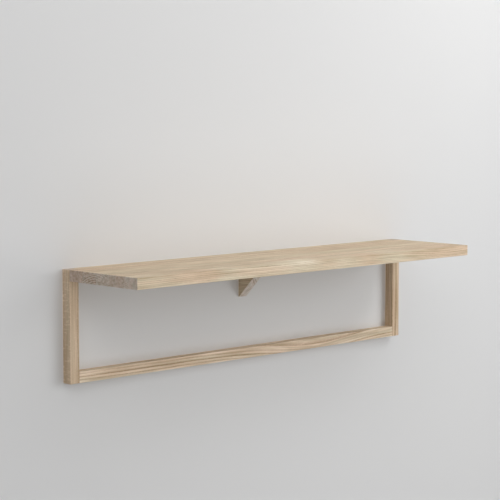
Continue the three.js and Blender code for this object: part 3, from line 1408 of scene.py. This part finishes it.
@dataclass
class OakWork:
    """The oak work that the frame, the shelf and the bracket share: eased edges, cut joints and the oil."""

    ease: float = 1.0 * MM
    overcut: float = 1.0 * MM
    dowels: Dowels = field(default_factory=Dowels)
    plates: HangerPlates = field(default_factory=HangerPlates)
    shelf_screw: WoodScrew = field(default_factory=lambda: WoodScrew(
        stem="shelf_screw", radius=2.5 * MM, head_height=2.8 * MM, tip=8.0 * MM, pitch=2.6 * MM))
    hanger_screw: WoodScrew = field(default_factory=lambda: WoodScrew(
        stem="hanger_screw", radius=1.5 * MM, head_height=1.7 * MM, tip=3.0 * MM, pitch=1.3 * MM))
    oak: OiledOak = field(default_factory=OiledOak)

    def cut_joints(self, piece: bpy.types.Object, board: Box) -> None:
        """Bores and routs a piece for everything that goes into it.

        Args:
            piece: The piece.
            board: Its box.
        """
        sunk = board.high.y - max(Box.of(node).high.y for node in nodes_named(self.shelf_screw.stem))
        cutters = self.dowels.holes_in(board)
        cutters += self.shelf_screw.holes_in(board, sunk + self.overcut if board.high.y > -sunk else 0.0)
        cutters += self.hanger_screw.holes_in(board, self.overcut)
        cutters += self.plates.recess_in(board)
        if cutters:
            cut_away(piece, cutters)

    def finish(
        self, piece: bpy.types.Object, node: str, slot: str, cut: OakCut, glued: Iterable[Side]
    ) -> None:
        """Cuts a piece's joints, oils it and puts it in its node's place.

        Args:
            piece: The piece.
            node: The node that it stands for.
            slot: The record's material slot; not used.
            cut: How it was sawn.
            glued: The sides that are glued to a neighbour.
        """
        board = Box.of(node)
        self.cut_joints(piece, board)
        stand_for(piece, node, self.oak.dress(f"{node}_oak", cut, board, glued))


@dataclass
class WallFrame:
    """The flat frame on the wall: two posts at full height, with a top and a bottom rail between them."""

    work: OakWork
    cuts: dict[str, OakCut] = field(default_factory=lambda: {
        "left_post": OakCut(
            pith=(-16.0, 105.0), seed=3.1, tone=0.89, warmth=1.0, figure=0.8, rays=0.9, grain=Grain.UPRIGHT,
            patches=(Patch(along=-140.0, half_length=70.0, tone=-0.08, warmth=0.4),),
        ),
        "right_post": OakCut(
            pith=(46.0, 120.0), seed=8.4, tone=0.91, warmth=0.85, grain=Grain.UPRIGHT,
            patches=(Patch(along=-60.0, half_length=45.0, tone=-0.1, warmth=0.7),),
        ),
        "top_rail": OakCut(pith=(-60.0, -80.0), seed=14.2),
        "bottom_rail": OakCut(
            pith=(58.0, -62.0), seed=21.7, ring=7.5, wander=2.0, tone=1.09, warmth=0.65, figure=1.2,
            patches=(
                Patch(along=225.0, half_length=175.0, tone=-0.07, warmth=0.2, dip=21.0),
                Patch(along=455.0, half_length=90.0, tone=0.07, warmth=-0.2),
            ),
        ),
    })

    def build_posts(self) -> None:
        """Makes both posts. Their edges are square where the shelf and the rails meet them."""
        top_rail, bottom_rail = Box.of("top_rail"), Box.of("bottom_rail")
        posts = (("left_post", Side.LEFT, Side.RIGHT), ("right_post", Side.RIGHT, Side.LEFT))
        for node, outer, inner in posts:
            box = Box.of(node)
            whole = (box.low.z, box.high.z)
            between = (bottom_rail.high.z, top_rail.low.z)
            runs = {
                frozenset((outer, Side.BACK)): whole,
                frozenset((outer, Side.FRONT)): (box.low.z, top_rail.low.z),
                frozenset((inner, Side.BACK)): between,
                frozenset((inner, Side.FRONT)): between,
            }
            ends = (frozenset((outer, Side.FRONT, Side.BACK)), frozenset((outer, Side.BACK)))
            piece = PlanedBar(box, 2, self.work.ease, runs, ends).build(f"oak_{node}")
            self.work.finish(piece, node, "frame_oak", self.cuts[node], ())

    def build_rails(self) -> None:
        """Makes both rails. Their ends are glued to the posts, and the top one's front to the shelf."""
        for node in ("top_rail", "bottom_rail"):
            box = Box.of(node)
            whole = (box.low.x, box.high.x)
            inside = (box.low.x + MM / 100, box.high.x - MM / 100)
            if node == "top_rail":
                runs = {frozenset((Side.BACK, Side.TOP)): whole, frozenset((Side.BACK, Side.UNDER)): inside}
            else:
                runs = {
                    frozenset((Side.FRONT, Side.UNDER)): whole,
                    frozenset((Side.BACK, Side.UNDER)): whole,
                    frozenset((Side.FRONT, Side.TOP)): inside,
                    frozenset((Side.BACK, Side.TOP)): inside,
                }
            piece = PlanedBar(box, 0, self.work.ease, runs, (frozenset(), frozenset())).build(f"oak_{node}")
            self.work.finish(piece, node, "frame_oak", self.cuts[node], (Side.LEFT, Side.RIGHT))


@dataclass
class ShelfBoard:
    """The shelf: full-length staves glued edge to edge, the first against the top rail and the posts."""

    work: OakWork
    cuts: tuple[OakCut, ...] = (
        OakCut(
            pith=(70.0, -30.0), seed=31.0, warmth=0.6, figure=1.3,
            patches=(Patch(along=-530.0, half_length=70.0, tone=-0.09, warmth=0.7),),
        ),
        OakCut(
            pith=(-25.0, -90.0), seed=37.5, end_tone=0.92, warmth=0.5, figure=1.3,
            patches=(Patch(along=270.0, half_length=220.0, tone=-0.04, warmth=0.2),),
        ),
        OakCut(
            pith=(40.0, 110.0), seed=43.2, end_tone=1.02, warmth=0.25, figure=1.3,
            patches=(Patch(along=270.0, half_length=200.0, tone=0.06, warmth=-0.1),),
        ),
        OakCut(
            pith=(-80.0, 24.0), seed=52.6, end_tone=0.96, warmth=0.6, figure=1.3,
            patches=(Patch(along=270.0, half_length=200.0, tone=0.06, warmth=-0.1),),
        ),
        OakCut(
            pith=(30.0, -60.0), seed=60.9, tone=1.01, end_tone=0.97, warmth=0.4,
            patches=(
                Patch(along=-360.0, half_length=60.0, tone=-0.03, warmth=0.7),
                Patch(along=-285.0, half_length=30.0, tone=0.03, warmth=-0.6),
                Patch(along=-50.0, half_length=48.0, tone=0.14, warmth=-0.4),
                Patch(along=35.0, half_length=30.0, tone=-0.07, warmth=0.2),
                Patch(along=172.0, half_length=40.0, tone=-0.05, warmth=0.6),
                Patch(along=265.0, half_length=45.0, tone=0.05, warmth=-0.4),
                Patch(along=470.0, half_length=150.0, tone=-0.07, warmth=0.6, dip=9.0),
            ),
        ),
    )

    def build(self) -> None:
        """Makes the staves. Only the panel's outer edges are eased, so that its top is one flat surface."""
        nodes = nodes_named("shelf_stave")
        for node, cut in zip(nodes, self.cuts):
            box = Box.of(node)
            whole = (box.low.x, box.high.x)
            outermost = node == nodes[-1]
            fronts = [Side.FRONT] if outermost else []
            runs = {frozenset((side, way)): whole for side in fronts for way in (Side.TOP, Side.UNDER)}
            end = frozenset((Side.TOP, Side.UNDER, *fronts))
            piece = PlanedBar(box, 0, self.work.ease, runs, (end, end)).build(f"oak_{node}")
            glued = (Side.BACK,) if outermost else (Side.BACK, Side.FRONT)
            self.work.finish(piece, node, "shelf_oak", cut, glued)


@dataclass
class Bracket:
    """The small triangle under the middle of the shelf, with its slope facing down and out."""

    work: OakWork
    nose: float = 1.5 * MM
    ease_share: float = 0.7
    cut: OakCut = OakCut(
        pith=(60.0, 40.0), seed=77.3, tone=0.99, end_tone=1.48, warmth=0.4, rays=0.2, grain=Grain.OUTWARD,
        # The patch darkens a 6 mm strip along the bracket's back edge against the wall: painted shade where
        # the bracket meets the wall.
        patches=(Patch(along=43.0, half_length=6.0, tone=-0.33),),
    )

    def build(self) -> None:
        """Makes the bracket, eased all round but for the edges under the shelf."""
        node = "centre_bracket"
        box = Box.of(node)
        outline = (
            (box.high.y, box.high.z),
            (box.high.y, box.low.z),
            (box.high.y - self.nose, box.low.z),
            (box.low.y, box.high.z - self.nose),
            (box.low.y, box.high.z),
        )
        shape = skin([[Vector((x, y, z)) for y, z in outline] for x in (box.low.x, box.high.x)])
        under = box.high.z - self.nose / 2
        loose = [edge for edge in shape.edges if any(vert.co.z < under for vert in edge.verts)]
        loose = [edge for edge in loose if edge.calc_length() > 2 * self.nose]
        bmesh.ops.bevel(
            shape, geom=loose, offset=self.work.ease * self.ease_share, offset_type="OFFSET", segments=3,
            profile=0.5, affect="EDGES", clamp_overlap=True,
        )
        piece = add_object(f"oak_{node}", mesh_of(node, shape))
        self.work.finish(piece, node, "bracket_oak", self.cut, (Side.TOP,))


# --------------------------------------------------------------------------------------------------
# The studio


def set_up(name: str, content: bpy.types.ID, place: Vector, direction: Vector) -> bpy.types.Object:
    """Puts a lamp or a camera in the scene.

    Args:
        name: The object's name.
        content: The lamp or the camera.
        place: Where it stands.
        direction: Where it points.

    Returns:
        The object.
    """
    made = add_object(name, content)
    made.location = place
    made.rotation_euler = direction.to_track_quat("-Z", "Y").to_euler()
    return made


@dataclass(frozen=True)
class Softbox:
    """A soft light aimed at the shelf: its place from the shelf's middle, its size in metres, its power."""

    name: str
    place: tuple[float, float, float]
    size: tuple[float, float]
    power: float

    def put_up(self, middle: Vector) -> None:
        """Adds the light, hidden from the camera.

        Args:
            middle: The shelf's middle.
        """
        lamp = bpy.data.lights.new(self.name, "AREA")
        lamp.shape = "RECTANGLE"
        lamp.size, lamp.size_y = self.size
        lamp.energy = self.power
        light = set_up(self.name, lamp, middle + Vector(self.place), -Vector(self.place))
        light.visible_camera = False


@dataclass
class Studio:
    """A pale painted wall, a pale floor far below, soft lights and the camera."""

    wall_gap: float = 0.5 * MM
    wall_reach: float = 9.0
    wall_fade: tuple[float, float] = (1.3, 2.8)
    floor_drop: float = 1.5
    floor_reach: float = 40.0
    wall_paint: Colour = linear(226, 226, 226)
    wall_roughness: float = 0.9
    wall_specular: float = 0.1
    air: Colour = linear(214, 214, 214)
    lens: float = 123.86
    sensor: float = 36.0
    camera_angles: tuple[float, float] = (-44.12, 5.355)
    camera_distance: float = 3.939
    camera_aim: tuple[float, float, float] = (-0.0953, 0.0, 0.1458)
    back_light: float = 1.6
    back_light_angle: float = 6.0
    lights: tuple[Softbox, ...] = (
        Softbox("near_key", (1.2, -1.0, 1.3), (0.8, 0.8), 7.4),
        Softbox("high_key", (1.2, -3.0, 2.6), (2.0, 2.0), 10.2),
        Softbox("overhead", (0.0, -1.3, 2.6), (2.0, 1.0), 15.0),
        Softbox("front", (0.0, -4.0, 0.4), (4.0, 3.0), 24.6),
        Softbox("front_right", (3.2, -3.0, 0.5), (2.5, 2.5), 73.7),
        Softbox("left", (-3.6, -1.2, 0.6), (2.0, 2.5), 12.8),
        Softbox("high_left", (-2.2, -2.0, 2.4), (2.0, 2.0), 28.5),
        Softbox("low_front", (0.0, -2.4, -1.3), (3.0, 1.5), 12.8),
        Softbox("low", (0.0, -1.5, -2.2), (6.0, 3.0), 10.2),
    )

    def build(self) -> None:
        """Sets up the wall, the floor, the air, the lights and the camera."""
        low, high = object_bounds()
        middle = (low + high) / 2
        self.build_wall(high.y + self.wall_gap, middle)
        self.build_floor(low.z - self.floor_drop)
        self.fill_air()
        for light in self.lights:
            light.put_up(middle)
        self.light_the_back()
        self.set_camera(middle)
        bpy.context.scene.view_settings.view_transform = "Standard"

    def light_the_back(self) -> None:
        """Adds a light from straight behind the wall, which reaches only what faces the wall."""
        lamp = bpy.data.lights.new("behind", "SUN")
        lamp.energy = self.back_light
        lamp.angle = math.radians(self.back_light_angle)
        set_up("behind", lamp, Vector((0.0, 0.0, 0.0)), Vector((0.0, -1.0, 0.0)))

    def build_wall(self, y: float, middle: Vector) -> None:
        """Adds the wall, which is clear from behind and fades into the air's glow where no light reaches.

        Args:
            y: Where the wall's face is.
            middle: The shelf's middle.
        """
        reach = self.wall_reach
        place = Vector((middle.x, y, middle.z))
        wall = self.sheet("wall", place, Vector((reach, 0, 0)), Vector((0, 0, reach)))
        recipe = Recipe("wall_paint")
        paint = recipe.node("ShaderNodeBsdfPrincipled", {}, {
            "Base Color": self.wall_paint,
            "Roughness": self.wall_roughness,
            "Specular IOR Level": self.wall_specular,
        }).outputs[0]
        flat = recipe.scaled(recipe.place(), (1.0, 0.0, 1.0), (-middle.x, 0.0, -middle.z))
        away = recipe.measure("LENGTH", flat)
        faded = recipe.node("ShaderNodeMixShader", {}, {
            0: away.rise(*self.wall_fade), 1: paint, 2: self.glow(recipe)}).outputs[0]
        wall.data.materials.append(recipe.output(self.clear_from_behind(recipe, faded)))
        wall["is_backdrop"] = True

    def build_floor(self, z: float) -> None:
        """Adds the floor, which glows evenly all the way out, lights nothing and is clear from below.

        Args:
            z: The floor's height.
        """
        reach = self.floor_reach
        floor = self.sheet("floor", Vector((0, 0, z)), Vector((reach, 0, 0)), Vector((0, reach, 0)))
        floor.visible_diffuse = False
        floor.visible_glossy = False
        recipe = Recipe("floor_paint")
        floor.data.materials.append(recipe.output(self.clear_from_behind(recipe, self.glow(recipe))))
        floor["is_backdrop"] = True

    @staticmethod
    def sheet(name: str, middle: Vector, first: Vector, second: Vector) -> bpy.types.Object:
        """A single flat face that casts no shadow.

        Args:
            name: The object's name.
            middle: The middle of the face.
            first: From the middle to one side.
            second: From the middle to the next side, counter-clockwise.

        Returns:
            The object.
        """
        corners = (-first - second, first - second, first + second, second - first)
        shape = bmesh.new()
        shape.faces.new([shape.verts.new(middle + corner) for corner in corners])
        mesh = bpy.data.meshes.new(name)
        shape.to_mesh(mesh)
        shape.free()
        made = add_object(name, mesh)
        made.visible_shadow = False
        return made

    def glow(self, recipe: Recipe) -> bpy.types.NodeSocket:
        """A shader that shines evenly in the air's tone."""
        return recipe.node("ShaderNodeEmission", {}, {"Color": self.air, "Strength": 1.0}).outputs[0]

    @staticmethod
    def clear_from_behind(recipe: Recipe, surface: bpy.types.NodeSocket) -> bpy.types.NodeSocket:
        """A shader that shows a surface on the front of a face and nothing on its back.

        Args:
            recipe: The material under construction.
            surface: The shader of the front.

        Returns:
            The shader.
        """
        clear = recipe.node("ShaderNodeBsdfTransparent").outputs[0]
        behind = recipe.node("ShaderNodeNewGeometry").outputs["Backfacing"]
        return recipe.node("ShaderNodeMixShader", {}, {0: behind, 1: surface, 2: clear}).outputs[0]

    def fill_air(self) -> None:
        """Gives the air a pale tone that only the camera meets, so that it lights nothing."""
        world = bpy.data.worlds.new("air")
        bpy.context.scene.world = world
        world.use_nodes = True
        world.node_tree.nodes["Background"].inputs["Color"].default_value = (*self.air, 1.0)
        for ray in ("diffuse", "glossy", "transmission", "scatter"):
            setattr(world.cycles_visibility, ray, False)

    def set_camera(self, middle: Vector) -> None:
        """Adds the camera, from its angles and its distance to the point that it looks at.

        Args:
            middle: The shelf's middle.
        """
        turn, rise = (math.radians(angle) for angle in self.camera_angles)
        back = Vector((math.sin(turn) * math.cos(rise), -math.cos(turn) * math.cos(rise), math.sin(rise)))
        settings = bpy.data.cameras.new("camera")
        settings.lens = self.lens
        settings.sensor_width = self.sensor
        place = middle + Vector(self.camera_aim) + back * self.camera_distance
        bpy.context.scene.camera = set_up("camera", settings, place, -back)


def main() -> None:
    """Builds the shelf piece by piece, then the studio round it."""
    logging.basicConfig(level=logging.INFO, format="%(name)s: %(message)s")
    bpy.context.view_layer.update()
    work = OakWork()
    zinc = ZincPlate()
    posts_and_rails = WallFrame(work)
    posts_and_rails.build_posts()
    posts_and_rails.build_rails()
    ShelfBoard(work).build()
    Bracket(work).build()
    work.dowels.build()
    work.plates.build(work.hanger_screw, zinc)
    work.shelf_screw.build(zinc)
    work.hanger_screw.build(zinc)
    Studio().build()


if __name__ == "__main__":
    main()
